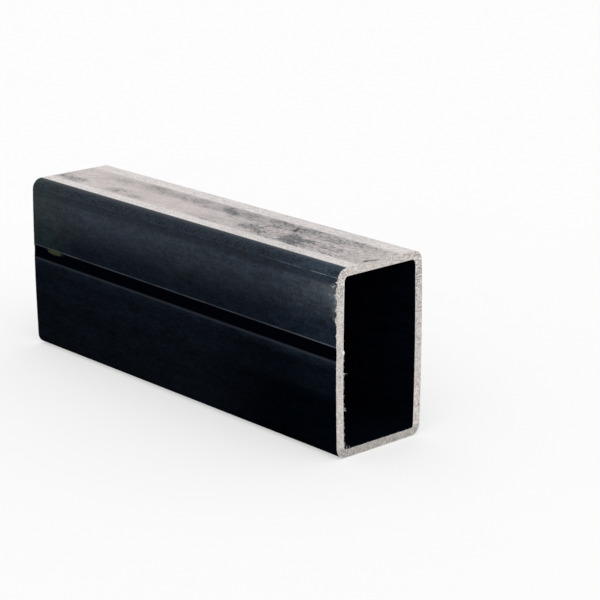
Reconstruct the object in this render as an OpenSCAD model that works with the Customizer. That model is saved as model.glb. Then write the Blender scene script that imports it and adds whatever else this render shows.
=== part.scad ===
// Rectangular steel tube: one sawn length of seam-welded hollow section.
// The tube lies along X and stands on one of its narrow faces.
// The origin is at the middle of the face it stands on.

/* [Section] */
// Height of the section, over the outside of the narrow faces
height = 100; // [80:1:120]
// Width of the section, over the outside of the wide faces
width = 60; // [50:1:80]
// Thickness of the steel strip
wall = 5; // [3:0.5:6]
// Outside radius of the four rolled corners
corner_r = 6.5; // [6.5:0.5:10]

/* [Length] */
// Length of the piece, from one sawn end to the other
length = 260; // [100:10:400]

/* [Weld seam] */
// Height of the seam above the middle of its wall
seam_rise = 6; // [-20:1:20]
// Width of the strip where the outside of the weld was planed off
scarf_w = 8; // [5:0.5:10]
// Depth of that strip at its middle, below the face of the wall
scarf_d = 0.25; // [0.1:0.05:0.5]
// Width of the inside weld bead where it meets the wall
bead_w = 3.2; // [2:0.2:5]
// Height that the inside weld bead stands above the wall
bead_h = 0.8; // [0.4:0.1:1.2]

/* [Hidden] */
// The strip keeps its thickness round each bend
inner_corner_r = corner_r - wall;
// Fineness of the arcs, as an angle and as a length
$fa = 2;
$fs = 0.2;

// Radius of the circle that has an arc of this rise over this chord
function arc_radius(chord, rise) = (pow(chord / 2, 2) + pow(rise, 2)) / (2 * rise);

// Rectangle with round corners, centred on the origin
module rounded_rect(w, h, r) {
    square([w - 2 * r, h], center = true);
    square([w, h - 2 * r], center = true);
    for (x = [-1, 1], y = [-1, 1])
        translate([x * (w / 2 - r), y * (h / 2 - r)])
            circle(r = r);
}

// Round tool that planes the seam flush, leaving a shallow hollow strip
module scarfing_tool() {
    r = arc_radius(scarf_w, scarf_d);
    translate([-width / 2 + scarf_d - r, seam_rise])
        circle(r = r);
}

// Round ridge of weld metal, left on the inside of the same wall
module weld_bead() {
    r = arc_radius(bead_w, bead_h);
    translate([-width / 2 + wall + bead_h - r, seam_rise])
        circle(r = r);
}

// Hollow of the tube, which the bead stands into
module bore() {
    difference() {
        rounded_rect(width - 2 * wall, height - 2 * wall, inner_corner_r);
        weld_bead();
    }
}

// Cross-section of the tube, centred on the origin
module section() {
    difference() {
        rounded_rect(width, height, corner_r);
        scarfing_tool();
        bore();
    }
}

// The length of tube, with plain sawn ends
module tube() {
    color("slategray")
        translate([-length / 2, 0, height / 2])
            rotate([90, 0, 90])
                linear_extrude(height = length)
                    section();
}

tube();
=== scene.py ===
import logging
import math
import random
from abc import ABC, abstractmethod
from collections.abc import Callable, Mapping, Sequence
from dataclasses import dataclass, field
from enum import Enum
from functools import reduce
from operator import add, or_
from typing import NamedTuple, TypeAlias

import bpy
import numpy as np
from mathutils import Color, Matrix, Vector, noise


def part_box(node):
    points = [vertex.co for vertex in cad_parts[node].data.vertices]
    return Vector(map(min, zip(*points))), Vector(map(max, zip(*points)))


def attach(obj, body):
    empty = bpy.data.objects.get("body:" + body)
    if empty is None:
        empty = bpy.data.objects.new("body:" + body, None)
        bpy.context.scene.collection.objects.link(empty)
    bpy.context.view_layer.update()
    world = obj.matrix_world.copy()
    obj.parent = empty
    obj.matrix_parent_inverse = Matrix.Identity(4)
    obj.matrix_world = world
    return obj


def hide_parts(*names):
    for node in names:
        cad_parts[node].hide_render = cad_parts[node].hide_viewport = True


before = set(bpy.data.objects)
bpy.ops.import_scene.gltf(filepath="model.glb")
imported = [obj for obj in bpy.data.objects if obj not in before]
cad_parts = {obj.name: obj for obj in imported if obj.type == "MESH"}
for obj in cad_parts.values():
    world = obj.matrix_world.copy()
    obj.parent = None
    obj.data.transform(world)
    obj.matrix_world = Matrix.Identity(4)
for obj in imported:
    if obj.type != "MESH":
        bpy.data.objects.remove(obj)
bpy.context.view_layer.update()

LOG = logging.getLogger("steel_tube")
MM = 0.001
SHARP_ANGLE = math.radians(38)
WHITE = (1.0, 1.0, 1.0)

Triple: TypeAlias = tuple[float, float, float]
Colour: TypeAlias = Triple
Span: TypeAlias = tuple[float, float]
Array: TypeAlias = np.ndarray
Number: TypeAlias = "Shade | float"
Sockets: TypeAlias = Mapping[str | int, object]


def tone(red: int, green: int, blue: int) -> Colour:
    """Turn a screen colour of 0 to 255 a channel into linear light."""
    return tuple(Color((red / 255, green / 255, blue / 255)).from_srgb_to_scene_linear())


class Face(Enum):
    """Which finish a face of the tube takes, as its material slot."""

    OUTSIDE = 0
    BORE = 1
    CUT = 2


class End(Enum):
    """The two sawn ends, as the sign of X that they face."""

    FRONT = 1
    BACK = -1

    @property
    def ring(self) -> int:
        """Index of the end's own ring among the rings along the tube."""
        return -1 if self is End.FRONT else 0


class Edge(Enum):
    """The two edges of a sawn end, and the skins that run up to them."""

    OUTER = "outer"
    INNER = "inner"


def math_node(operation: str, swapped: bool = False) -> Callable[..., "Shade"]:
    """Make one of the operators of Shade.

    Args:
        operation: What the operator's Math node does.
        swapped: True where the other value comes first.

    Returns:
        The operator, as a method.
    """

    def apply(self: "Shade", other: Number = 0.0) -> "Shade":
        """Add the Math node and return its result."""
        values = (other, self) if swapped else (self, other)
        return self.tree.value("ShaderNodeMath", dict(enumerate(values)), operation=operation)

    return apply


class Shade:
    """One shader value, on which Python's operators add Math nodes.

    The operator | gives the larger of two values, and & the smaller.
    """

    __add__ = __radd__ = math_node("ADD")
    __sub__ = math_node("SUBTRACT")
    __rsub__ = math_node("SUBTRACT", swapped=True)
    __mul__ = __rmul__ = math_node("MULTIPLY")
    __truediv__ = math_node("DIVIDE")
    __pow__ = math_node("POWER")
    __or__ = math_node("MAXIMUM")
    __and__ = math_node("MINIMUM")
    __abs__ = math_node("ABSOLUTE")

    def __init__(self, tree: "ShaderTree", socket: bpy.types.NodeSocket) -> None:
        """Keep the socket and the tree that it stands in."""
        self.tree = tree
        self.socket = socket

    def step(self, low: float, high: float) -> "Shade":
        """Fade smoothly from 0 to 1 while this value goes from low to high.

        Args:
            low: Where the result is 0. It may be above high, and the fade then runs downwards.
            high: Where the result is 1.

        Returns:
            The fade, held between 0 and 1.
        """
        if low > high:
            return 1.0 - self.step(high, low)
        sockets = {"Value": self, "From Min": low, "From Max": high}
        return self.tree.value("ShaderNodeMapRange", sockets, interpolation_type="SMOOTHSTEP")

    def stripe(self, middle: float, half: float, soft: float) -> "Shade":
        """Mask a stripe of half a width about a middle, whose edges fade on over soft."""
        return abs(self - middle).step(half + soft, half)

    def swing(self, width: float) -> "Shade":
        """Stretch noise that lies within a width of 0.5 to values from -1 to 1."""
        sockets = {"Value": self, 1: 0.5 - width, 2: 0.5 + width, 3: -1.0, 4: 1.0}
        return self.tree.value("ShaderNodeMapRange", sockets)

    def mix(self, first: object, second: object) -> "Shade":
        """Blend two colours by this value, of which 0 gives the first."""
        sockets = {0: self, 6: first, 7: second}
        return self.tree.value("ShaderNodeMix", sockets, 2, data_type="RGBA")

    def scaled(self, by: "Shade") -> "Shade":
        """Make this colour lighter or darker by a factor."""
        return self.tree.value("ShaderNodeVectorMath", {0: self, "Scale": by}, operation="SCALE")

    def vector(self, operation: str, other: object) -> "Shade":
        """Add one Vector Math node that works on this place and on another vector."""
        return self.tree.value("ShaderNodeVectorMath", {0: self, 1: other}, operation=operation)

    def stretch(self, factors: Triple) -> "Shade":
        """Scale this place along each axis, so that a pattern on it is drawn out."""
        return self.vector("MULTIPLY", factors)

    def grain(self, scale: float, detail: float = 3.0, rough: float = 0.55) -> "Shade":
        """Read noise about 0.5 at this place, with so many grains to a millimetre."""
        sockets = {"Vector": self, "Scale": scale, "Detail": detail, "Roughness": rough}
        return self.tree.value("ShaderNodeTexNoise", sockets)

    def streaks(self, along: float, scale: float, detail: float, rough: float) -> "Shade":
        """Read noise that is drawn out along the tube, the more so the less along is."""
        return self.stretch((along, 1.0, 1.0)).grain(scale, detail, rough)

    def warped(self, scale: float, reach: Triple) -> "Spot":
        """Shift this place about by noise, so that what is laid on it gets a ragged shape.

        Args:
            scale: How many bends there are to a millimetre.
            reach: How far the noise moves the place along each axis.

        Returns:
            The shifted place.
        """
        noisy = {"Vector": self, "Scale": scale, "Detail": 4.0}
        shift = self.tree.value("ShaderNodeTexNoise", noisy, "Color")
        centred = shift.vector("SUBTRACT", (0.5, 0.5, 0.5))
        return self.vector("ADD", centred.stretch(reach)).split()

    def bump(self, depth: float, strength: float) -> "Shade":
        """Turn this height from 0 to 1, of so many metres' depth, into a bumped normal."""
        sockets = {"Height": self, "Distance": depth, "Strength": strength}
        return self.tree.value("ShaderNodeBump", sockets)

    def split(self) -> "Spot":
        """Take this place apart into its three axes."""
        parts = self.tree.node("ShaderNodeSeparateXYZ", {0: self})
        return Spot(self, *(Shade(self.tree, axis) for axis in parts.outputs))


class ShaderTree:
    """The node tree of a material or a world."""

    def __init__(self, owner: bpy.types.Material | bpy.types.World) -> None:
        """Empty the owner's node tree and keep it.

        Args:
            owner: The material or world to give nodes to.
        """
        owner.use_nodes = True
        self.nodes = owner.node_tree.nodes
        self.links = owner.node_tree.links
        self.nodes.clear()

    def node(self, kind: str, sockets: Sockets | None = None, **settings: object) -> bpy.types.Node:
        """Add a node of any kind.

        Args:
            kind: The node's type, as Blender names it.
            sockets: The value or the link of each input, by its name or its number.
            settings: What the node is set to, which comes before its sockets.

        Returns:
            The new node.
        """
        made = self.nodes.new(kind)
        for name, setting in settings.items():
            setattr(made, name, setting)
        for key, given in (sockets or {}).items():
            self._feed(made.inputs[key], given)
        return made

    def value(
        self, kind: str, sockets: Sockets | None = None, output: str | int = 0, **settings: object
    ) -> Shade:
        """Add a node of any kind and return one of its outputs, by its name or its number."""
        return Shade(self, self.node(kind, sockets, **settings).outputs[output])

    def _feed(self, socket: bpy.types.NodeSocket, given: object) -> None:
        """Link a value to an input, or write a constant there.

        Args:
            socket: The input.
            given: A shader value, a number, a vector or a colour.
        """
        if isinstance(given, Shade):
            self.links.new(given.socket, socket)
        else:
            socket.default_value = (*given, 1.0) if socket.type == "RGBA" else given

    def principled(
        self, colour: Shade, rough: Shade, normal: Shade, metallic: float = 0.0, specular: float = 0.5
    ) -> Shade:
        """Add a Principled shader.

        Args:
            colour: Its base colour.
            rough: Its roughness.
            normal: Its bumped normal.
            metallic: How far it is a metal.
            specular: How strong its highlights are.

        Returns:
            The shader.
        """
        sockets = {
            "Base Color": colour,
            "Roughness": rough,
            "Normal": normal,
            "Metallic": metallic,
            "Specular IOR Level": specular,
        }
        return self.value("ShaderNodeBsdfPrincipled", sockets)

    def spot(self) -> "Spot":
        """Read the place on the object, in millimetres."""
        raw = self.value("ShaderNodeTexCoord", output="Object")
        return raw.stretch((1 / MM, 1 / MM, 1 / MM)).split()


class Spot(NamedTuple):
    """Place on the object in millimetres, as a vector and axis by axis."""

    at: Shade
    x: Shade
    y: Shade
    z: Shade


class Grain(NamedTuple):
    """Noise from -1 to 1, of four sizes: specks, lengthwise streaks, spots and broad clouds."""

    fine: Shade
    streak: Shade
    mottle: Shade
    cloud: Shade


@dataclass(frozen=True)
class Section:
    """Cross-section of the tube and its length, in metres."""

    length: float
    width: float
    height: float
    wall: float = 4.75 * MM
    narrow_wall: float = 4.35 * MM
    corner_r: float = 6 * MM
    upper_inner_r: float = 2.4 * MM
    bow: float = 0.8 * MM
    seam_rise: float = 6.2 * MM
    seam_climb: float = 1.4 * MM
    scarf_w: float = 7.5 * MM
    scarf_d: float = 0.25 * MM
    bead_w: float = 3.2 * MM
    bead_h: float = 0.8 * MM

    @classmethod
    def of_node(cls, node: str) -> "Section":
        """Take the overall sizes from a node of the frame."""
        low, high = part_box(node)
        return cls(high[0] - low[0], high[1] - low[1], high[2] - low[2])

    @property
    def seam_z(self) -> float:
        """Height of the middle of the seam above the floor, at the front end."""
        return self.height / 2 + self.seam_rise

    def climb(self, x: Number) -> Number:
        """How much higher than at the front end the seam runs at a place along the tube."""
        return (0.5 - x / self.length) * self.seam_climb

    def seam(self, loop: "Loop", x: float, edge: Edge) -> Array:
        """Shape the seam: a round bead on the bore's wall, or a strip planed hollow outside.

        Args:
            loop: The outline of the section.
            x: Place along the tube.
            edge: INNER for the bead and OUTER for the strip.

        Returns:
            The bead's height or the strip's depth at each point, which is 0 off the seam.
        """
        inner = edge is Edge.INNER
        chord, rise = (self.bead_w, self.bead_h) if inner else (self.scarf_w, self.scarf_d)
        radius = ((chord / 2) ** 2 + rise**2) / (2 * rise)
        from_middle = loop.point[:, 1] - self.climb(x) - self.seam_z
        arc = np.sqrt(np.maximum(radius**2 - from_middle**2, 0.0)) - (radius - rise)
        return np.where(loop.on_seam_wall, np.maximum(arc, 0.0), 0.0)

    def drawn_in(self, z: float | Array) -> float | Array:
        """How much further in a wide wall lies at a height than in its middle, as it bulges."""
        return self.bow * ((z - self.height / 2) / (self.height / 2)) ** 2

    def inner_y(self, z: float) -> float:
        """Distance from the middle of the bore to its wide wall at a height."""
        return self.width / 2 - self.drawn_in(z) - self.wall

    def inside(self, point: Array, normal: Array, ridge: Array) -> Array:
        """Points of the bore's wall under points of the outside.

        Args:
            point: Places on the outside, in the YZ plane.
            normal: Their outward normals.
            ridge: How far the bore's wall stands proud there.

        Returns:
            Places on the bore's wall, with its two upper corners rounded further.
        """
        wall = self.wall + (self.narrow_wall - self.wall) * normal[:, 1] ** 2
        inner = point - normal * (wall + ridge)[:, None]
        ceiling = self.height - self.narrow_wall
        centre = np.array([self.inner_y(ceiling), ceiling]) - self.upper_inner_r
        side = np.column_stack([np.sign(inner[:, 0]), np.ones(len(inner))])
        beyond = inner * side - centre
        arc = centre + self.upper_inner_r * beyond / np.linalg.norm(beyond, axis=1)[:, None]
        in_corner = (beyond > 0).all(axis=1)
        return np.where(in_corner[:, None], arc * side, inner)


class Loop(NamedTuple):
    """Points once round the outside of the section, with their outward normals."""

    point: Array
    normal: Array
    on_seam_wall: Array


def spread(start: float, end: float, step: float) -> Array:
    """Space points evenly from start up to, but without, end."""
    count = max(2, round(abs(end - start) / step))
    return np.linspace(start, end, count, endpoint=False)


def wander(points: Array, size: float) -> Array:
    """Smooth noise from -1 to 1 over points in metres, with bumps of so many metres' width."""
    return np.array([noise.noise(Vector(point) / size) for point in points])


def stand(x: float | Array, yz: Array) -> Array:
    """Stand places of the YZ plane at one X, or each at its own."""
    return np.column_stack([np.broadcast_to(x, len(yz)), yz])


def weave(grid: Array, flip: bool) -> Array:
    """Lay quads over a grid of vertex numbers that closes on itself round the section.

    Args:
        grid: The numbers, one ring a row.
        flip: True to turn the faces over.

    Returns:
        Four vertex numbers for each quad.
    """
    after = np.roll(grid, -1, axis=1)
    quads = np.stack([grid[:-1], grid[1:], after[1:], after[:-1]], axis=-1).reshape(-1, 4)
    return quads[:, ::-1] if flip else quads


def put(name: str, data: bpy.types.ID) -> bpy.types.Object:
    """Put something into the scene.

    Args:
        name: Name of the new object.
        data: The mesh, lamp or camera that it shows.

    Returns:
        The new object.
    """
    made = bpy.data.objects.new(name, data)
    bpy.context.scene.collection.objects.link(made)
    return made


def put_mesh(
    name: str, points: Sequence, faces: Sequence, slots: Array | None = None
) -> bpy.types.Object:
    """Make a mesh and put it into the scene.

    Args:
        name: Name of the new object.
        points: Its vertices, in metres.
        faces: The vertex numbers of each face.
        slots: The material slot of each face, for a mesh that is shaded smoothly.

    Returns:
        The new object.
    """
    mesh = bpy.data.meshes.new(name)
    mesh.from_pydata(points, [], faces)
    if slots is not None:
        mesh.polygons.foreach_set("material_index", slots.astype(np.int32))
    mesh.validate()
    if slots is not None:
        mesh.shade_smooth()
        mesh.set_sharp_from_angle(angle=SHARP_ANGLE)
    return put(name, mesh)


@dataclass(frozen=True)
class Outline:
    """How finely the section's outline is followed."""

    section: Section
    step: float = 0.72 * MM
    seam_step: float = 0.4 * MM
    seam_reach: float = 6 * MM
    corner_steps: int = 12

    def loop(self) -> Loop:
        """Follow the outside from the foot of the seam wall, up, over and round.

        Returns:
            The points and normals in the YZ plane.
        """
        sec = self.section
        side_y, flat_y = sec.width / 2, sec.width / 2 - sec.corner_r
        low, high = sec.corner_r, sec.height - sec.corner_r
        near, far = sec.seam_z - self.seam_reach, sec.seam_z + self.seam_reach
        below, above = spread(low, near, self.step), spread(far, high, self.step)
        seam_wall = np.concatenate([below, spread(near, far, self.seam_step), above])
        across = spread(-flat_y, flat_y, self.step)
        down = spread(high, low, self.step)
        runs = [
            self._flat(-side_y, seam_wall, (-1.0, 0.0)),
            self._corner((-flat_y, high), 180),
            self._flat(across, sec.height, (0.0, 1.0)),
            self._corner((flat_y, high), 90),
            self._flat(side_y, down, (1.0, 0.0)),
            self._corner((flat_y, low), 0),
            self._flat(-across, 0.0, (0.0, -1.0)),
            self._corner((-flat_y, low), -90),
        ]
        point, normal = (np.concatenate(parts) for parts in zip(*runs))
        point[:, 0] *= 1 - sec.drawn_in(point[:, 1]) / side_y
        return Loop(point, normal, np.arange(len(point)) < len(seam_wall))

    @staticmethod
    def _flat(y: float | Array, z: float | Array, normal: Span) -> tuple[Array, ...]:
        """Lay points on a flat, along which either y or z stays the same."""
        point = np.stack(np.broadcast_arrays(y, z), axis=1)
        return point, np.tile(normal, (len(point), 1))

    def _corner(self, centre: Span, start: float) -> tuple[Array, ...]:
        """Lay points round a corner, a quarter turn clockwise from a start angle.

        Args:
            centre: Middle of the corner's arc.
            start: The start angle, in degrees.

        Returns:
            The points and their normals.
        """
        angle = np.radians(np.linspace(start, start - 90, self.corner_steps, endpoint=False))
        normal = np.stack([np.cos(angle), np.sin(angle)], axis=1)
        return np.array(centre) + self.section.corner_r * normal, normal


@dataclass(frozen=True)
class TubeBody:
    """The steel itself, as one closed mesh with all its faces."""

    section: Section
    loop: Loop
    fine_reach: float = 12 * MM
    fine_step: float = 0.6 * MM
    long_step: float = 5.5 * MM
    wall_steps: int = 13
    inset: float = 0.08 * MM
    skin_wave: float = 0.05 * MM
    skin_wave_size: float = 30 * MM
    bore_wave: float = 0.05 * MM
    knot: float = 0.16
    knot_size: float = 2.5 * MM
    cut_back: float = 0.08 * MM
    ridge_depth: float = 0.1 * MM
    ridge_pitch: float = 2.6 * MM
    ridge_draw: float = 0.12
    chip_depth: float = 0.22 * MM
    chip_size: float = 1.3 * MM
    chip_least: float = 0.15
    gouge_y: float = -3.6 * MM
    gouge_half: float = 5.2 * MM
    gouge_depth: float = 0.4 * MM

    def _rings(self) -> Array:
        """Work out where the rings lie along the tube, close together near the ends.

        Returns:
            Their places on X.
        """
        end = self.section.length / 2
        start_fine = spread(-end, self.fine_reach - end, self.fine_step)
        middle = spread(self.fine_reach - end, end - self.fine_reach, self.long_step)
        end_fine = np.linspace(end - self.fine_reach, end, len(start_fine) + 1)
        return np.concatenate([start_fine, middle, end_fine])

    def _skin(self, x: float, edge: Edge) -> Array:
        """Lay the points of one ring.

        Args:
            x: Place of the ring.
            edge: OUTER for the outside and INNER for the bore.

        Returns:
            The ring's points.
        """
        point, normal, _ = self.loop
        places = stand(x, point)
        wave = wander(places, self.skin_wave_size)
        seam = self.section.seam(self.loop, x, edge)
        if edge is Edge.INNER:
            knots = 1.0 + self.knot * wander(places * np.array([1.0, 0.0, 0.0]), self.knot_size)
            return stand(x, self.section.inside(point, normal, self.bore_wave * wave + seam * knots))
        depth = self.inset + self.skin_wave * (0.5 + 0.5 * wave) + seam
        return stand(x, point - normal * depth[:, None])

    def _sawn_x(self, yz: Array, end: End) -> Array:
        """Find where a sawn face lies, a little inside the end plane and with the saw's ridges.

        Args:
            yz: Places on the face.
            end: Which end it is.

        Returns:
            The X of each place.
        """
        drawn = stand(end.value * self.section.length, yz) * np.array([1.0, self.ridge_draw, 1.0])
        ridges = wander(drawn, self.ridge_pitch) * 0.5 + wander(drawn, self.ridge_pitch / 2.3) * 0.35
        depth = self.cut_back + self.ridge_depth * (0.5 + 0.5 * ridges)
        return end.value * (self.section.length / 2 - depth)

    def _chips(self, places: Array) -> Array:
        """How far the arris is broken back at each place, mostly not at all."""
        raised = wander(places, self.chip_size) + 0.5 * wander(places, self.chip_size / 2.5)
        return self.chip_depth * np.clip(raised - self.chip_least, 0.0, 1.0)

    def _gouge(self) -> Array:
        """How far the front end's upper edge is struck in at each place round the outline."""
        share = (self.loop.point[:, 0] - self.gouge_y) / self.gouge_half
        return np.where(self.loop.normal[:, 1] > 0.9, self.gouge_depth * np.clip(1 - share**2, 0, 1), 0)

    def _saw(self, outer: Array, inner: Array, end: End) -> Array:
        """Saw one end: move its two edges onto the cut, chip the outer one and fill in between.

        Args:
            outer: The outside's ring at the end, which is changed.
            inner: The bore's ring at the end, which is changed.
            end: Which end it is.

        Returns:
            Points of the sawn face between its edges, one ring a row.
        """
        for ring in (outer, inner):
            ring[:, 0] = self._sawn_x(ring[:, 1:], end)
        chips = self._chips(outer)
        if end is End.FRONT:
            chips = chips + self._gouge()
        outer[:, 1:] -= self.loop.normal * chips[:, None]
        outer[:, 0] -= end.value * chips
        shares = np.linspace(0, 1, self.wall_steps + 1)[1:-1]
        rings = np.stack([outer + (inner - outer) * share for share in shares])
        for ring in rings:
            ring[:, 0] = self._sawn_x(ring[:, 1:], end)
        return rings

    def build(self, name: str) -> bpy.types.Object:
        """Make the tube's mesh: outside, bore and both cuts, joined by quads.

        Args:
            name: Name of the new object.

        Returns:
            The object, with a material slot number on each face.
        """
        rings = self._rings()
        outer, inner = (np.stack([self._skin(x, edge) for x in rings]) for edge in Edge)
        ends = (End.BACK, End.FRONT)
        parts = [outer, inner, *(self._saw(outer[end.ring], inner[end.ring], end) for end in ends)]
        sizes = [part.shape[0] * part.shape[1] for part in parts]
        outer_id, inner_id, *cut_ids = (
            np.arange(after - size, after).reshape(part.shape[:2])
            for part, size, after in zip(parts, sizes, np.cumsum(sizes))
        )
        quads = [weave(outer_id, False), weave(inner_id, True)]
        for end, cut_id in zip(ends, cut_ids):
            grid = np.vstack([outer_id[end.ring], cut_id, inner_id[end.ring]])
            quads.append(weave(grid, end is End.FRONT))
        faces = (Face.OUTSIDE, Face.BORE, Face.CUT, Face.CUT)
        slots = np.concatenate([np.full(len(part), face.value) for part, face in zip(quads, faces)])
        points = np.vstack([part.reshape(-1, 3) for part in parts])
        return put_mesh(name, points.tolist(), np.vstack(quads).tolist(), slots)


@dataclass(frozen=True)
class BurrLip:
    """Thin rolled-over lip that the saw left along one edge of one end."""

    section: Section
    end: End
    edge: Edge
    step: float = 0.25 * MM
    corner_steps: int = 40
    lip: float = 0.1 * MM
    ragged: float = 0.4 * MM
    broad: float = 6 * MM
    spike: float = 0.8 * MM
    heavy_low: float = 60 * MM
    heavy_rise: float = 8 * MM
    heavy_high: float = 98 * MM
    heavy_fall: float = 3 * MM
    heavy: float = 1.3 * MM
    flake: float = 3 * MM
    tip: float = 0.08 * MM
    root: float = 0.3 * MM
    seat: float = 0.14 * MM

    def _heavy(self, loop: Loop, places: Array, spiky: Array) -> Array:
        """Work out the flakes of the heavy, torn burr high on the seam wall.

        Args:
            loop: The outline of the section.
            places: Places on the lip.
            spiky: How ragged the lip is at each place, from 0 to 1.

        Returns:
            How much further the lip reaches at each place.
        """
        z = loop.point[:, 1]
        rising = np.clip((z - self.heavy_low) / self.heavy_rise, 0, 1)
        falling = np.clip((self.heavy_high - z) / self.heavy_fall, 0, 1)
        torn = np.where(loop.normal[:, 0] < -0.5, rising * falling, 0.0)
        lumps = wander(places, self.flake) + 0.7 * wander(places, self.flake / 3)
        return self.heavy * np.clip(0.15 + 3.0 * lumps, 0.0, 1.0) * (0.6 + 0.4 * spiky) * torn

    def build(self, name: str) -> bpy.types.Object:
        """Make the lip as one closed ring of five-sided section.

        Args:
            name: Name of the new object.

        Returns:
            The object.
        """
        half = self.section.length / 2
        loop = Outline(self.section, self.step, self.step, corner_steps=self.corner_steps).loop()
        seam = self.section.seam(loop, self.end.value * half, self.edge)
        if self.edge is Edge.INNER:
            point, normal = self.section.inside(loop.point, loop.normal, seam), -loop.normal
        else:
            point, normal = loop.point - loop.normal * (seam + self.tip)[:, None], loop.normal
        places = stand(float(self.end.value), point)
        fine = 2 * wander(places, self.spike) + 1.4 * wander(places, self.spike / 2)
        spiky = np.clip(fine, 0.0, 1.0)
        reach = self.lip + self.ragged * spiky * (0.5 + 0.5 * wander(places, self.broad))
        if self.end is End.FRONT and self.edge is Edge.OUTER:
            reach = reach + self._heavy(loop, places, spiky)
        # How far each row stands out of the wall, and how deep it lies behind the end
        profile = (
            (0.01 * MM, self.seat + reach),
            (self.tip * (0.35 + 0.65 * spiky), 0.8 * self.seat),
            (-0.05 * MM, 0.9 * self.tip * (1 - spiky)),
            (-self.root, self.seat + 0.02 * MM),
            (-self.root, self.seat + 0.2 * MM),
        )
        rows = np.stack(
            [
                stand(self.end.value * (half - depth), point + normal * np.reshape(out, (-1, 1)))
                for out, depth in profile
            ]
        )
        grid = np.arange(rows.shape[0] * rows.shape[1]).reshape(rows.shape[:2])
        flip = (self.end is End.FRONT) == (self.edge is Edge.INNER)
        quads = weave(np.vstack([grid, grid[:1]]), flip)
        return put_mesh(name, rows.reshape(-1, 3).tolist(), quads.tolist())


class Root(NamedTuple):
    """Where a sliver leaves the inner edge of an end, and its longest length.

    The place is a height on the seam wall, or the place across the foot.
    """

    place: float
    longest: float
    on_foot: bool = False


def roots(*rows: Span, on_foot: bool = False) -> tuple[Root, ...]:
    """Make a root of each row of a place and a longest length, both in millimetres."""
    return tuple(Root(place * MM, longest * MM, on_foot) for place, longest in rows)


@dataclass
class Slivers:
    """Curled slivers of steel that hang into the bore from the edge of one end."""

    section: Section
    end: End
    long_ones: tuple[Root, ...]
    seed: int
    scatter: int = 110
    segments: int = 5
    longest: float = 1.6 * MM
    width: Span = (0.25 * MM, 0.7 * MM)
    thickness: float = 0.12 * MM
    set_back: float = 0.16 * MM
    root_depth: float = 0.25 * MM
    verts: list[Vector] = field(default_factory=list)
    faces: list[tuple[int, ...]] = field(default_factory=list)

    def build(self, name: str) -> bpy.types.Object:
        """Make all slivers of the end as one mesh.

        Args:
            name: Name of the new object.

        Returns:
            The object.
        """
        dice = random.Random(self.seed)
        for root in self.long_ones:
            self._sliver(dice, root, shortest=0.8)
        for _ in range(self.scatter):
            self._sliver(dice, self._any_root(dice), shortest=0.3)
        return put_mesh(name, self.verts, self.faces)

    def _any_root(self, dice: random.Random) -> Root:
        """Pick a root low on the seam wall or on the foot, where most slivers hang.

        Args:
            dice: Where its place is drawn from.

        Returns:
            The root.
        """
        foot = self.section.narrow_wall
        if dice.random() < 0.6:
            return Root(foot + (self.section.seam_z - foot) * dice.random() ** 1.2, self.longest)
        half_y = self.section.inner_y(foot)
        return Root(half_y * (1.9 * dice.random() ** 1.6 - 0.98), 0.55 * self.longest, on_foot=True)

    def _sliver(self, dice: random.Random, root: Root, shortest: float) -> None:
        """Add one tapered curl that starts in the wall and hangs into the bore.

        Args:
            dice: Where its sizes are drawn from.
            root: Where it leaves the edge.
            shortest: Smallest share of its longest length that it may have.
        """
        out = Vector((self.end.value, 0, 0))
        if root.on_foot:
            edge, into = Vector((0, root.place, self.section.narrow_wall)), Vector((0, 0, 1))
        else:
            edge, into = Vector((0, -self.section.inner_y(root.place), root.place)), Vector((0, 1, 0))
        along = into.cross(out).normalized()
        length = root.longest * dice.uniform(shortest, 1.0)
        width = dice.uniform(*self.width)
        curl = dice.uniform(-0.35, 0.0)
        lean = dice.uniform(-0.3, 0.8) * self.end.value
        heading = dice.uniform(-0.12, 0.0)
        place = edge + out * (self.section.length / 2 - self.set_back) - into * self.root_depth
        first = len(self.verts)
        last = first + 3 * self.segments
        for index in range(self.segments + 1):
            share = index / self.segments
            angle = heading + curl * share
            course = into * math.cos(angle) + out * math.sin(angle) + along * lean
            half = along * (width / 2 * (1 - 0.75 * share))
            flat = course.cross(along).normalized() * self.thickness * (1 - 0.6 * share)
            self.verts.extend([place - half, place + half, place + flat])
            place = place + course.normalized() * (length / self.segments)
        for start in range(first, last, 3):
            for side, after in ((0, 1), (1, 2), (2, 0)):
                self.faces.append((start + side, start + after, start + 3 + after, start + 3 + side))
        self.faces.append((first + 2, first + 1, first))
        self.faces.append((last, last + 1, last + 2))


@dataclass(frozen=True)
class Finish(ABC):
    """A finish that makes one material."""

    name: str

    def material(self) -> bpy.types.Material:
        """Make the material.

        Returns:
            The new material.
        """
        made = bpy.data.materials.new(self.name)
        tree = ShaderTree(made)
        tree.node("ShaderNodeOutputMaterial", {"Surface": self.shader(tree)})
        return made

    @abstractmethod
    def shader(self, tree: ShaderTree) -> Shade:
        """Build the nodes of this finish.

        Args:
            tree: The material's tree.

        Returns:
            The shader that they end in.
        """


@dataclass(frozen=True)
class Blob:
    """Soft spot on a face: its middle and reach, its share, its turn in degrees and its soft edge."""

    middle: Span
    reach: Span
    share: float
    turn: float = 0.0
    edge: Span = (1.4, 0.2)

    def mask(self, first: Shade, second: Shade, ragged: Shade) -> Shade:
        """Mask the spot.

        Args:
            first: The first coordinate on the face.
            second: The second coordinate on the face.
            ragged: Noise about 0 that its edge follows.

        Returns:
            The spot's share inside, and 0 outside.
        """
        first, second = first - self.middle[0], second - self.middle[1]
        if self.turn:
            cos, sin = math.cos(math.radians(self.turn)), math.sin(math.radians(self.turn))
            first, second = first * cos + second * sin, second * cos - first * sin
        along, across = first / self.reach[0], second / self.reach[1]
        return self.share * (along * along + across * across + ragged).step(*self.edge)


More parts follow.
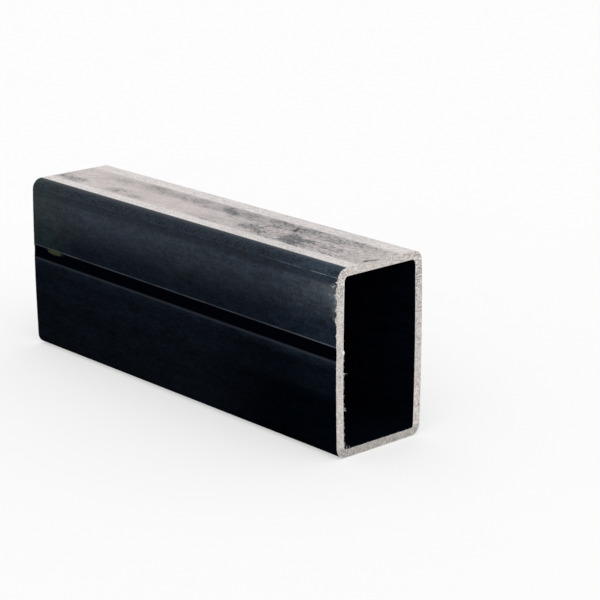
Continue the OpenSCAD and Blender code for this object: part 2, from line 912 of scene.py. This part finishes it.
def spots(*rows: tuple[float, ...]) -> tuple[Blob, ...]:
    """Make a spot of each row of a middle, a reach, a share and, where it is turned, a turn."""
    return tuple(Blob(row[:2], row[2:4], *row[4:]) for row in rows)


def gather(blobs: Sequence[Blob], first: Shade, second: Shade, ragged: Shade) -> Shade:
    """Add up the masks of several spots."""
    return reduce(add, (blob.mask(first, second, ragged) for blob in blobs))


@dataclass(frozen=True)
class RolledSkin(Finish):
    """Outside of the tube: blue-black mill scale, worn bright on the face that lies on top.

    Places and widths on it are in millimetres.
    """

    section: Section
    # Tones of the side, several of them painted light: the low to high tones a painted reflection, the
    # front tone a painted highlight, the foot and open tones painted shadow, the two light lines and the
    # whitish wisp painted highlights.
    scale_high: Colour = tone(35, 44, 54)
    scale_front_highlight: Colour = tone(42, 48, 54)
    scale_low: Colour = tone(17, 23, 31)
    painted_foot_shadow: Colour = tone(1, 3, 6)
    scale_open: Colour = tone(11, 15, 21)
    scale_bend: Colour = tone(29, 38, 48)
    roll_shade: Colour = tone(24, 32, 41)
    scale_plain: Colour = tone(32, 39, 47)
    line: Colour = tone(96, 102, 110)
    roll_highlight: Colour = tone(176, 182, 188)
    seam: Colour = tone(2, 3, 8)
    wisp_highlight: Colour = tone(182, 184, 184)
    far_tint: Colour = tone(32, 44, 45)
    stain: Colour = tone(66, 68, 52)
    worn: Colour = tone(209, 199, 197)
    worn_dark: Colour = tone(86, 90, 93)
    band: Colour = tone(228, 222, 220)
    nick: Colour = tone(52, 50, 52)
    roll_z: float = 95.5
    shade_z: float = 92.5
    base_z: Span = (60.0, 40.0)
    worn_z: Span = (90.0, 95.0)
    shaded_copy_z: Span = (90.0, 62.0)
    front_highlight_x: Span = (70.0, 128.0)
    open_x: Span = (95.0, 10.0)
    tint_x: Span = (-85.0, -122.0)
    scuff_x: Span = (14.0, 48.0)
    flat_half: float = 22.6
    band_width: float = 8.0
    sheen: float = 0.06
    scale_rough: float = 0.45
    worn_rough: float = 0.5
    fine_swing: float = 0.16
    mottle_swing: float = 0.18
    cloud_swing: float = 0.2
    # Spots of the painted highlight wisps beside the front end.
    wisps: tuple[Blob, ...] = spots(
        (128.3, 88.5, 5.2, 4.4, 0.62, 20), (130.5, 80, 4.5, 8, 0.35), (120, 88.5, 9, 4, 0.07),
    )
    stained: Blob = Blob((-109.5, 60.0), (7.5, 1.7), 0.75)
    patches: tuple[Blob, ...] = spots(
        (-129, -9, 6, 6, 0.5), (-115, -10.5, 11, 4.5, 0.65), (-75, -9.5, 7.5, 4.5, 0.6),
        (-57, -10, 7, 4, 0.4), (-91, 9, 10, 4.5, 0.32), (-60, 9, 13, 6.5, 0.36, -15),
        (-40, 9, 10, 5.5, 0.28), (-23, 10, 8, 5, 0.45), (-12, 3.5, 4, 2.5, 0.25),
        (7, 6.5, 12, 3.8, 0.62, -30), (7, -13.3, 5, 1.3, 0.6), (17, -13.5, 9, 1.1, 0.25),
        (10, -7, 6, 1.4, 0.2), (21, 10, 7, 3.5, 0.25), (37.5, -6, 8, 4, 0.75), (45, 3, 9, 2.6, 0.4),
        (43, 12, 9, 3, 0.35), (47, -9.5, 4.5, 3.2, 0.65), (65, 9.5, 9, 5, 0.3),
        (70, -6, 10, 6.5, 1.1, -20), (80, -3.5, 5, 4, 1.0), (75, -12, 11, 2.8, 0.95),
        (98, -5.8, 8, 2.4, 0.5), (92, 7, 5, 3.5, 0.3), (106, 11, 9, 3.6, 0.25),
        (103, -13.3, 6, 1.3, 0.45), (58, -13.8, 8, 1.0, 0.4),
    )
    nicks: tuple[Blob, ...] = spots(
        (127.2, -7.6, 1.5, 1.9, 1.0), (128.7, -3.8, 6, 0.8, 1.0, 72), (58.7, 7.4, 5.2, 1.1, 0.9, -56),
        (59.6, 5.2, 2, 1.3, 0.95), (48.5, 2.9, 8, 0.6, 0.4, 4), (44, 12.2, 5, 0.7, 0.35, -40),
        (95, -6.2, 3, 0.7, 0.4), (86.2, -5, 1.5, 1.2, 0.6), (104.8, -3.2, 1.2, 1.0, 0.5),
        (81.6, -2.2, 1.3, 1.3, 0.6), (73.5, -5.5, 6, 0.7, 0.5, -14), (66.5, -3.2, 4.5, 0.6, 0.45, -22),
        (78, -8.6, 5, 0.6, 0.4, -10),
    )

    def shader(self, tree: ShaderTree) -> Shade:
        """Build the skin's nodes.

        Args:
            tree: The material's tree.

        Returns:
            The shader: a lit copy with sheen, mixed with a shaded copy without sheen low on the wide
                face that the seam is on.
        """
        spot = tree.spot()
        grain = Grain(
            spot.at.streaks(0.55, 1.0, 5.0, 0.7).swing(self.fine_swing),
            spot.at.streaks(0.1, 0.8, 5.0, 0.65).swing(self.fine_swing),
            spot.at.streaks(0.6, 0.32, 6.0, 0.68).swing(self.mottle_swing),
            spot.at.streaks(0.35, 0.13, 6.0, 0.62).swing(self.cloud_swing),
        )
        top = self._top_mask(spot)
        colour = top.mix(self._scale_colour(spot, grain), self._worn_colour(spot, grain))
        rough = self.scale_rough + 0.05 * grain.fine + 0.06 * grain.cloud
        rough = rough + top * (self.worn_rough - self.scale_rough)
        normal = (0.5 + 0.15 * grain.fine + 0.15 * grain.streak).bump(0.05 * MM, 0.5)
        # Lit and shaded copies of the scale: the shaded copy has no sheen, so the painted shade low on
        # the seam side stays dark.
        lit = tree.principled(colour, rough, normal, specular=self.sheen)
        shaded_copy = tree.principled(colour, rough, normal, specular=0.0)
        dull = spot.z.step(*self.shaded_copy_z) * self._seam_side(spot)
        return tree.value("ShaderNodeMixShader", {0: dull, 1: lit, 2: shaded_copy})

    def _seam_side(self, spot: Spot) -> Shade:
        """Mask the wide face that the seam is on, with its two corners but without the base."""
        base = 24.5 * spot.z.step(*self.base_z)
        return (spot.y + base).step(0.0, -3.5)

    def _top_mask(self, spot: Spot) -> Shade:
        """Mask the worn flat of the upper face, from one corner's tangent on to the other corner."""
        near = spot.y.step(-self.flat_half - 0.25, 0.25 - self.flat_half)
        return near * spot.y.step(self.flat_half + 5.0, self.flat_half + 3.5) * spot.z.step(*self.worn_z)

    def _scale_colour(self, spot: Spot, grain: Grain) -> Shade:
        """Colour the mill scale and its seam, with painted reflection and shade down the side and
        painted highlight lines and wisps.

        Args:
            spot: The place on the object.
            grain: The noise there.

        Returns:
            The colour.
        """
        half = self.section.scarf_w / 2 / MM
        seam_z = self.section.seam_z / MM
        from_seam = spot.z - seam_z - self.section.climb(spot.x * MM) / MM
        seam_side = self._seam_side(spot)
        # Painted highlight: the side, its bend line and its upper seam line are made lighter towards the
        # front end.
        front_highlight = spot.x.step(*self.front_highlight_x)
        # Painted reflection: the scale is made lighter higher up the side and darker lower down.
        high = (spot.z + 2.0 * grain.cloud + grain.mottle).step(68.0, 91.0)
        colour = high.mix(self.scale_low, front_highlight.mix(self.scale_high, self.scale_front_highlight))
        shaded = spot.z.step(self.shade_z - 2.6, self.shade_z)
        colour = shaded.mix(colour, self.roll_shade)
        colour = spot.z.step(self.roll_z - 0.4, self.roll_z + 0.3).mix(colour, self.scale_bend)
        # Painted shadow: below the seam and towards the foot the side goes near black beside the front
        # end, a little less dark further back.
        below = (spot.z + 1.2 * grain.cloud).step(seam_z - half - 0.3, 46.0)
        above_foot = spot.z.step(45.0, 29.0)
        deep = spot.x.step(*self.open_x).mix(self.painted_foot_shadow, self.scale_open)
        colour = (0.75 * below | above_foot).mix(colour, deep)
        tint = 0.6 * spot.x.step(*self.tint_x) * from_seam.step(0.0, half)
        colour = seam_side.mix(self.scale_plain, tint.mix(colour, self.far_tint))
        life = 1.0 + 0.2 * grain.streak + 0.14 * grain.cloud + 0.26 * grain.mottle
        life = life + (0.4 + 0.4 * spot.z.step(94.0, 96.0)) * grain.fine
        # Grain texture, times a painted highlight that lightens the side towards the front end.
        colour = colour.scaled(life * (1.0 + front_highlight * (0.8 + 0.1 * high)))
        # Painted highlight: whitish smoky wisps on the side beside the front end.
        colour = (self._highlight_wisps(spot, grain) * seam_side).mix(colour, self.wisp_highlight)
        patchy = 0.5 + 0.5 * grain.streak
        # Painted highlight: a thin light line along the bend of the upper corner.
        rolled = 0.01 + 0.03 * patchy + 0.34 * front_highlight * grain.streak.step(-0.3, 0.5)
        colour = (spot.z.stripe(self.roll_z, 0.06, 0.2) * rolled).mix(colour, self.roll_highlight)
        colour = (from_seam.stripe(0.0, half - 0.3, 0.35) * seam_side).mix(colour, self.seam)
        # Painted highlights: light lines along the upper and lower edges of the seam strip.
        upper = from_seam.stripe(half, 0.1, 0.45) * (0.18 + 0.25 * front_highlight + 0.3 * patchy)
        lower = from_seam.stripe(-half - 0.5, 0.2, 0.9) * 0.12
        colour = ((upper | lower) * seam_side).mix(colour, self.line)
        stain = self.stained.mask(spot.x, spot.z, 0.5 * grain.fine) * seam_side
        return stain.mix(colour, self.stain)

    def _highlight_wisps(self, spot: Spot, grain: Grain) -> Shade:
        """Mask the painted highlight of whitish smoky wisps on the wide face beside the front end."""
        threads = spot.at.warped(0.22, (9.0, 0.0, 7.0)).at.streaks(0.28, 0.6, 6.0, 0.72).step(0.48, 0.63)
        return gather(self.wisps, spot.x, spot.z, 0.5 * grain.fine) * (0.1 + 0.9 * threads)

    def _worn_colour(self, spot: Spot, grain: Grain) -> Shade:
        """Colour the rubbed upper face, with its bright shoulders and dark patches.

        Args:
            spot: The place on the object.
            grain: The noise there.

        Returns:
            The colour.
        """
        scuffed = (spot.x + 8.0 * grain.cloud).step(*self.scuff_x)
        marked = spot.at.streaks(0.45, 0.7, 6.0, 0.76).step(0.45, 0.6)
        moved = spot.at.warped(0.12, (14.0, 9.0, 0.0))
        ragged = 0.8 * grain.mottle + 0.7 * grain.fine
        dirt = gather(self.patches, moved.x, moved.y, ragged) * (0.4 + 0.8 * marked)
        middle = spot.x.step(-25.0, 0.0) * spot.x.step(112.0, 88.0)
        back_half = spot.y.stripe(8.5, 4.0, 4.0) * spot.x.step(-118.0, -60.0)
        near_half = spot.y.step(3.0, -2.0) * spot.x.step(-20.0, 10.0)
        handled = spot.x.stripe(62.0, 26.0, 14.0)
        dark = 0.16 + (0.15 + 0.2 * middle) * back_half + (0.13 + 0.1 * handled) * near_half
        dark = dark + 0.12 * grain.cloud + 0.16 * grain.mottle + 0.08 * grain.fine
        dark = dark + (0.1 + 0.46 * scuffed) * (marked - 0.25)
        dark = (dark + dirt) * (0.72 + 0.28 * spot.x.step(130.0, 114.0))
        inner = self.flat_half - self.band_width
        wavy = 0.35 * grain.streak + 0.5 * grain.cloud + 0.3 * grain.mottle
        shoulder = (abs(spot.y) + wavy).step(inner - 0.6, inner + 1.2)
        rub = 0.15 + 0.07 * handled + 0.26 * grain.fine + 0.15 * grain.mottle + 0.06 * grain.cloud
        band = (rub + 0.2 * dirt).mix(self.band, self.worn_dark)
        colour = (0.95 * shoulder).mix(dark.mix(self.worn, self.worn_dark), band)
        nicks = gather(self.nicks, spot.x, spot.y, 0.5 * grain.fine)
        return nicks.mix(colour, self.nick)


@dataclass(frozen=True)
class BoreSkin(Finish):
    """Inside of the tube: dull black scale."""

    scale: Colour = tone(8, 12, 23)
    scale_dark: Colour = tone(2, 4, 9)

    def shader(self, tree: ShaderTree) -> Shade:
        """Build the bore's nodes.

        Args:
            tree: The material's tree.

        Returns:
            The shader.
        """
        at = tree.spot().at
        streak = at.streaks(0.1, 0.7, 4.0, 0.6)
        fine = at.grain(1.4)
        colour = streak.step(0.3, 0.7).mix(self.scale_dark, self.scale)
        normal = (0.5 * fine + 0.5 * streak).bump(0.06 * MM, 0.5)
        return tree.principled(colour, 0.5 + 0.3 * (fine - 0.5), normal, specular=0.01)


@dataclass(frozen=True)
class SawnSteel(Finish):
    """Bare sawn steel of the end faces, with the saw's fine cross marks, painted highlights along its
    edges and painted shade along its bottom wall.

    Places and depths on it are in millimetres.
    """

    section: Section
    warm: Colour = tone(216, 206, 201)
    cool: Colour = tone(206, 202, 197)
    edge_highlight: Colour = tone(236, 230, 226)
    spark: Colour = tone(250, 247, 243)
    mark: Colour = tone(126, 119, 114)
    # Painted shade tone of the cut's bottom wall, next to the floor.
    foot: Colour = tone(140, 139, 135)
    pit: Colour = tone(74, 70, 68)
    outer_highlight: Span = (0.75, 0.2)
    inner_highlight: Span = (4.0, 4.6)
    pits: tuple[Blob, ...] = spots(
        (-27.3, 44, 0.9, 0.45, 0.6), (28.4, 16.5, 0.45, 0.8, 0.9), (27, 71, 1.3, 0.4, 0.4),
    )
    corners: tuple[Blob, ...] = spots(
        (-27, 92, 6, 9, 1.0), (27, 92, 6, 8, 0.6), (28, 18, 5, 13, 0.4),
    )
    bead: Blob = Blob((-24.5, 56.3), (1.0, 1.4), 1.0)

    def shader(self, tree: ShaderTree) -> Shade:
        """Build the sawn face's nodes.

        Args:
            tree: The material's tree.

        Returns:
            The shader.
        """
        spot = tree.spot()
        strokes = spot.at.stretch((1.0, 0.2, 1.0)).grain(1.3, 4.0, 0.65)
        grit = spot.at.grain(1.25, 4.0, 0.7)
        blotch = spot.at.grain(0.11, 3.0, 0.6)
        depth = self._depth(spot)
        colour = blotch.step(0.4, 0.6).mix(self.warm, self.cool)
        # Painted highlights: light rims along the outer and inner edges of the cut.
        edge_highlights = depth.step(*self.outer_highlight) * 0.45 | depth.step(*self.inner_highlight) * 0.75
        colour = edge_highlights.mix(colour, self.edge_highlight)
        plain_wall = spot.y.step(22.0, 25.0)
        ceiling = spot.z.step(93.0, 96.0) * spot.y.step(-12.0, 12.0)
        scraped = plain_wall * (spot.z + 20.0 * (blotch - 0.5)).step(44.0, 70.0) | 0.5 * ceiling
        corner = gather(self.corners, spot.y, spot.z, 0.5 * (blotch - 0.5))
        lines = strokes.step(0.51, 0.59) * (0.3 + 0.62 * scraped)
        grains = grit.step(0.5, 0.58) * (0.42 + 0.15 * scraped + 0.5 * corner)
        colour = (lines | grains).mix(colour, self.mark)
        sparks = grit.step(0.47, 0.37) * (0.45 + 0.55 * corner)
        colour = sparks.mix(colour, self.spark)
        # Painted shade: the cut's bottom wall, next to the floor, is made darker.
        painted_foot_shade = spot.z.step(6.5, 4.0) * (0.35 + 0.5 * grit.step(0.44, 0.56))
        colour = painted_foot_shade.mix(colour, self.foot)
        bead = self.bead.mask(spot.y, spot.z, 0.5 * (grit - 0.5))
        colour = bead.mix(colour, self.spark)
        pits = gather(self.pits, spot.y, spot.z, 1.2 * (grit - 0.5))
        colour = pits.mix(colour, self.pit)
        rough = 0.5 + 0.25 * (strokes - 0.5)
        normal = (0.5 * strokes + 0.5 * grit).bump(0.1 * MM, 0.7)
        return tree.principled(colour, rough, normal, metallic=0.3, specular=0.3)

    def _depth(self, spot: Spot) -> Shade:
        """Measure how deep in the wall a place of the cut lies.

        Args:
            spot: The place on the object.

        Returns:
            Its distance from the outside of the section, in millimetres.
        """
        radius = self.section.corner_r / MM
        beside = abs(spot.y) - (self.section.width / 2 / MM - radius)
        above = abs(spot.z - self.section.height / 2 / MM) - (self.section.height / 2 / MM - radius)
        round_y, round_z = beside | 0.0, above | 0.0
        outside = (round_y * round_y + round_z * round_z) ** 0.5
        return radius - outside - ((beside | above) & 0.0)


@dataclass(frozen=True)
class BurrSteel(Finish):
    """Freshly torn steel of the burrs and slivers."""

    bright: Colour = tone(222, 215, 210)
    shade: Colour = tone(150, 145, 141)

    def shader(self, tree: ShaderTree) -> Shade:
        """Build the burrs' nodes.

        Args:
            tree: The material's tree.

        Returns:
            The shader.
        """
        grit = tree.spot().at.grain(1.6, 3.0, 0.6)
        colour = grit.step(0.4, 0.65).mix(self.bright, self.shade)
        normal = grit.bump(0.05 * MM, 0.5)
        return tree.principled(colour, 0.4 + 0.2 * (grit - 0.5), normal, metallic=0.4)


@dataclass(frozen=True)
class StudioFloor(Finish):
    """Plain pale floor that reads as white and keeps the tube's shadow."""

    paint: Colour = (0.97, 0.97, 0.97)
    dusty: Colour = (0.94, 0.94, 0.94)
    whiten: float = 0.5

    def shader(self, tree: ShaderTree) -> Shade:
        """Build the floor's nodes.

        Args:
            tree: The material's tree.

        Returns:
            The shader.
        """
        soft = tree.spot().at.grain(0.01, 2.0)
        colour = (0.5 * soft).mix(self.paint, self.dusty)
        paint = tree.value("ShaderNodeBsdfDiffuse", {"Color": colour})
        glow = tree.value("ShaderNodeEmission", {"Color": WHITE, "Strength": 1.0})
        return tree.value("ShaderNodeMixShader", {0: seen_rays(tree) * self.whiten, 1: paint, 2: glow})


def seen_rays(tree: ShaderTree) -> Shade:
    """Give 1 for rays that show the background, and 0 for rays that only light the object."""
    kinds = ("Is Camera Ray", "Is Glossy Ray", "Is Transmission Ray")
    return reduce(or_, (tree.value("ShaderNodeLightPath", output=kind) for kind in kinds))


@dataclass
class SteelTube:
    """The tube: its body, and the burrs and slivers that the saw left on it."""

    section: Section
    node: str = "tube"
    slot: str = "steel"
    front_slivers: tuple[Root, ...] = (
        *roots((62.8, 1.0), (45.8, 3.6), (45.3, 2.8), (38.2, 1.5), (33.2, 1.9), (32.4, 1.5)),
        *roots((27.4, 2.8), (26.6, 3.2), (25.8, 2.4), (17.4, 2.2), (16.3, 1.5), (9.2, 2.4)),
        *roots((8.3, 2.9), (7.1, 2.2)),
        *roots((-23.0, 2.8), (-20.5, 2.2), on_foot=True),
    )
    back_slivers: tuple[Root, ...] = roots((41.0, 2.0), (22.0, 2.0))
    front_seed: int = 11
    back_seed: int = 29
    pieces: list[bpy.types.Object] = field(default_factory=list)

    def build(self) -> None:
        """Make every mesh of the tube."""
        body = TubeBody(self.section, Outline(self.section).loop()).build("tube_body")
        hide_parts(self.node)
        self.pieces.append(body)
        for end, long_ones, seed in (
            (End.FRONT, self.front_slivers, self.front_seed),
            (End.BACK, self.back_slivers, self.back_seed),
        ):
            side = end.name.lower()
            for edge in Edge:
                lip = BurrLip(self.section, end, edge)
                self.pieces.append(lip.build(f"burr_{edge.value}_{side}"))
            hanging = Slivers(self.section, end, long_ones, seed)
            self.pieces.append(hanging.build(f"slivers_{side}"))

    def dress(self) -> None:
        """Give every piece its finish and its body."""
        skin = {
            Face.OUTSIDE: RolledSkin("rolled_skin", self.section),
            Face.BORE: BoreSkin("bore_skin"),
            Face.CUT: SawnSteel("sawn_steel", self.section),
        }
        finishes = {
            "tube": [skin[face] for face in Face],
            "burr": [BurrSteel("burr_steel")],
            "slivers": [BurrSteel("sliver_steel", tone(214, 208, 204), tone(112, 108, 106))],
        }
        made = {kind: [finish.material() for finish in group] for kind, group in finishes.items()}
        for piece in self.pieces:
            for material in made[piece.name.split("_")[0]]:
                piece.data.materials.append(material)
            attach(piece, "root")
            LOG.info("%s: %d faces", piece.name, len(piece.data.polygons))


@dataclass(frozen=True)
class Viewpoint:
    """Camera that sees the tube as the picture does."""

    azimuth: float = 48.054
    elevation: float = 16.782
    roll: float = -0.097
    lens_px: float = 2056.63
    picture_px: float = 600.0
    sensor: float = 36.0
    nearest: float = 10 * MM
    from_front_foot: Triple = (708.19 * MM, -690.74 * MM, 376.94 * MM)

    def build(self, section: Section) -> None:
        """Make the camera and look through it.

        Args:
            section: The tube, whose front end the camera is placed from.
        """
        lens = bpy.data.cameras.new("camera")
        lens.sensor_width = self.sensor
        lens.lens = self.lens_px / self.picture_px * self.sensor
        lens.clip_start = self.nearest
        stand_at = Vector((section.length / 2, 0.0, 0.0)) + Vector(self.from_front_foot)
        turns = ((self.azimuth, "Z"), (90 - self.elevation, "X"), (self.roll, "Z"))
        azimuth, tilt, roll = (Matrix.Rotation(math.radians(angle), 4, axis) for angle, axis in turns)
        camera = put("camera", lens)
        camera.matrix_world = Matrix.Translation(stand_at) @ azimuth @ tilt @ roll
        bpy.context.scene.camera = camera


@dataclass(frozen=True)
class SoftSun:
    """Far, wide lamp, which lights the floor and the tube evenly and softly."""

    name: str
    towards: Triple
    share: float
    spread: float

    def build(self) -> None:
        """Make the lamp and point it."""
        light = bpy.data.lights.new(self.name, "SUN")
        light.angle = math.radians(self.spread)
        light.energy = math.pi * self.share
        lamp = put(self.name, light)
        lamp.rotation_euler = Vector(self.towards).to_track_quat("Z", "Y").to_euler()


@dataclass
class Studio:
    """Floor, light and camera round the tube."""

    section: Section
    floor_size: float = 12.0
    sky: float = 0.62
    suns: tuple[SoftSun, ...] = (
        SoftSun("key_lamp", (0.55, -0.3, 0.8), 0.36, 70.0),
        SoftSun("back_lamp", (-0.3, 0.6, 0.75), 0.12, 90.0),
    )

    def build(self) -> None:
        """Make the whole studio."""
        self._floor()
        self._world()
        for sun in self.suns:
            sun.build()
        Viewpoint().build(self.section)
        bpy.context.scene.view_settings.view_transform = "Standard"

    def _floor(self) -> None:
        """Lay the floor under the tube."""
        half = self.floor_size / 2
        corners = [(-half, -half, 0.0), (half, -half, 0.0), (half, half, 0.0), (-half, half, 0.0)]
        floor = put_mesh("floor", corners, [(0, 1, 2, 3)])
        floor.data.materials.append(StudioFloor("studio_floor").material())

    def _world(self) -> None:
        """Light the scene evenly, and show white where nothing stands."""
        world = bpy.data.worlds.new("studio_sky")
        bpy.context.scene.world = world
        tree = ShaderTree(world)
        light, white = (
            tree.value("ShaderNodeBackground", {"Color": WHITE, "Strength": strength})
            for strength in (self.sky, 1.0)
        )
        both = tree.value("ShaderNodeMixShader", {0: seen_rays(tree), 1: light, 2: white})
        tree.node("ShaderNodeOutputWorld", {"Surface": both})


def main() -> None:
    """Build the tube and its studio."""
    logging.basicConfig(level=logging.INFO, format="%(name)s: %(message)s")
    section = Section.of_node("tube")
    tube = SteelTube(section)
    tube.build()
    tube.dress()
    Studio(section).build()


if __name__ == "__main__":
    main()
